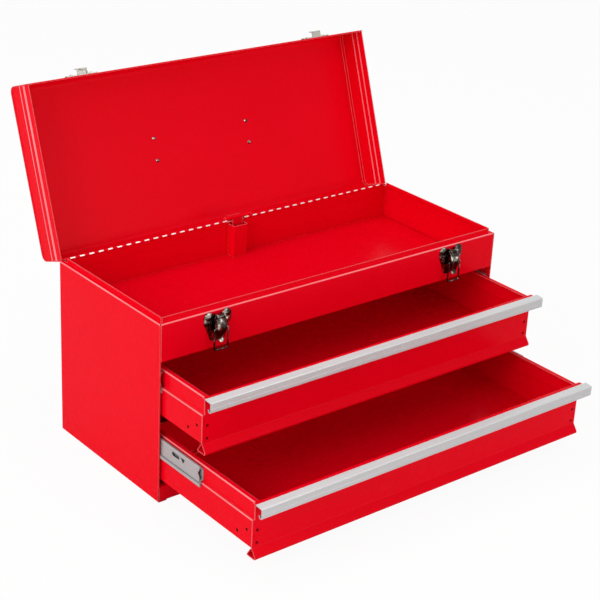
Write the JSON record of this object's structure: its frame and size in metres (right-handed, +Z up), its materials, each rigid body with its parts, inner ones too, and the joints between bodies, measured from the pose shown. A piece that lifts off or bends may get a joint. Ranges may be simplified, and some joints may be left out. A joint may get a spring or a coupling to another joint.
{
  "type": "portable tool box with drawers",
  "caption": "Portable steel tool box with a hinged lid over a tray, a folding carrying handle, draw latches and sliding drawers held shut by the lid.",
  "frame": {"origin": "centre of the case's underside", "axes": "+X along the front to the right as seen from the front, +Y to the back, +Z up"},
  "size_m": [0.52, 0.5145, 0.4365],
  "materials": {
    "red_paint": "glossy powder coat",
    "zinc": "bright zinc plating",
    "nickel": "bright nickel plating",
    "pull_aluminium": "satin anodised",
    "handle_rubber": "matt black"
  },
  "bodies": {
    "case": {"back_panel": "red_paint", "base_pan": "red_paint", "front_apron": "red_paint", "hinge_leaf_case_left": "nickel", "hinge_leaf_case_right": "nickel", "hinge_pin_left": "nickel", "hinge_pin_right": "nickel", "latch_base_left": "nickel", "latch_base_right": "nickel", "latch_pins": "nickel", "latch_rivets": "nickel", "lock_bar_cover": "red_paint", "lock_bar_guides": "zinc", "lock_bar_spring": "zinc", "side_panel_left": "red_paint", "side_panel_right": "red_paint", "slide_channel_bottom_left": "zinc", "slide_channel_bottom_right": "zinc", "slide_channel_top_left": "zinc", "slide_channel_top_right": "zinc", "tray_floor": "red_paint"},
    "lid": {"handle_clip_left": "nickel", "handle_clip_right": "nickel", "handle_rivets": "nickel", "hinge_leaf_lid_left": "nickel", "hinge_leaf_lid_right": "nickel", "keeper_left": "nickel", "keeper_right": "nickel", "keeper_rivets": "nickel", "lid_end_left": "red_paint", "lid_end_right": "red_paint", "lid_shell": "red_paint", "lock_bar_striker": "red_paint"},
    "handle": {"handle_bail": "nickel", "handle_grip": "handle_rubber"},
    "lock_bar": {"lock_bar": "red_paint", "lock_bar_head": "red_paint"},
    "rails_top": {"slide_rail_top_left": "zinc", "slide_rail_top_right": "zinc"},
    "drawer_top": {"drawer_back_top": "red_paint", "drawer_front_top": "red_paint", "drawer_pull_top": "pull_aluminium", "drawer_runner_top_left": "zinc", "drawer_runner_top_right": "zinc", "drawer_tray_top": "red_paint"},
    "rails_bottom": {"slide_rail_bottom_left": "zinc", "slide_rail_bottom_right": "zinc"},
    "drawer_bottom": {"drawer_back_bottom": "red_paint", "drawer_front_bottom": "red_paint", "drawer_pull_bottom": "pull_aluminium", "drawer_runner_bottom_left": "zinc", "drawer_runner_bottom_right": "zinc", "drawer_tray_bottom": "red_paint"},
    "lever_left": {"latch_lever_left": "nickel"},
    "bail_left": {"latch_bail_left": "nickel"},
    "lever_right": {"latch_lever_right": "nickel"},
    "bail_right": {"latch_bail_right": "nickel"}
  },
  "joints": [
    {"name": "lid_hinge", "type": "hinge", "parent": "case", "child": "lid", "pos_m": [0, 0.1058, 0.2289], "axis": [1, 0, 0], "range_deg": [0, 109.4]},
    {"name": "handle_fold", "type": "hinge", "parent": "lid", "child": "handle", "pos_m": [0, 0.18763, 0.31225], "axis": [1, 0, 0], "range_deg": [-17.1, 158.3]},
    {"name": "lock_bar_slide", "type": "slide", "parent": "case", "child": "lock_bar", "axis": [0, 0, -1], "range_m": [0, 0.0069], "deforming": ["lock_bar_spring"]},
    {"name": "rails_top_slide", "type": "slide", "parent": "case", "child": "rails_top", "axis": [0, 1, 0], "range_m": [-0.098, 0.002]},
    {"name": "drawer_top_slide", "type": "slide", "parent": "rails_top", "child": "drawer_top", "axis": [0, 1, 0], "range_m": [-0.0205, 0.0655]},
    {"name": "rails_bottom_slide", "type": "slide", "parent": "case", "child": "rails_bottom", "axis": [0, 1, 0], "range_m": [-0.02, 0.08]},
    {"name": "drawer_bottom_slide", "type": "slide", "parent": "rails_bottom", "child": "drawer_bottom", "axis": [0, 1, 0], "range_m": [-0.0025, 0.0835]},
    {"name": "lever_left_pivot", "type": "hinge", "parent": "case", "child": "lever_left", "pos_m": [-0.1819, -0.112, 0.221], "axis": [1, 0, 0], "range_deg": [-130, 0]},
    {"name": "bail_left_pivot", "type": "hinge", "parent": "lever_left", "child": "bail_left", "pos_m": [-0.1819, -0.1156, 0.208], "axis": [-1, 0, 0], "range_deg": [0, 192.8]},
    {"name": "lever_right_pivot", "type": "hinge", "parent": "case", "child": "lever_right", "pos_m": [0.1819, -0.112, 0.221], "axis": [1, 0, 0], "range_deg": [-130, 0]},
    {"name": "bail_right_pivot", "type": "hinge", "parent": "lever_right", "child": "bail_right", "pos_m": [0.1819, -0.1156, 0.208], "axis": [-1, 0, 0], "range_deg": [0, 192.8]}
  ],
  "couplings": [
    {"joint": "lock_bar_slide", "follows": "lid_hinge", "m_per_rad": 0.003613}
  ]
}
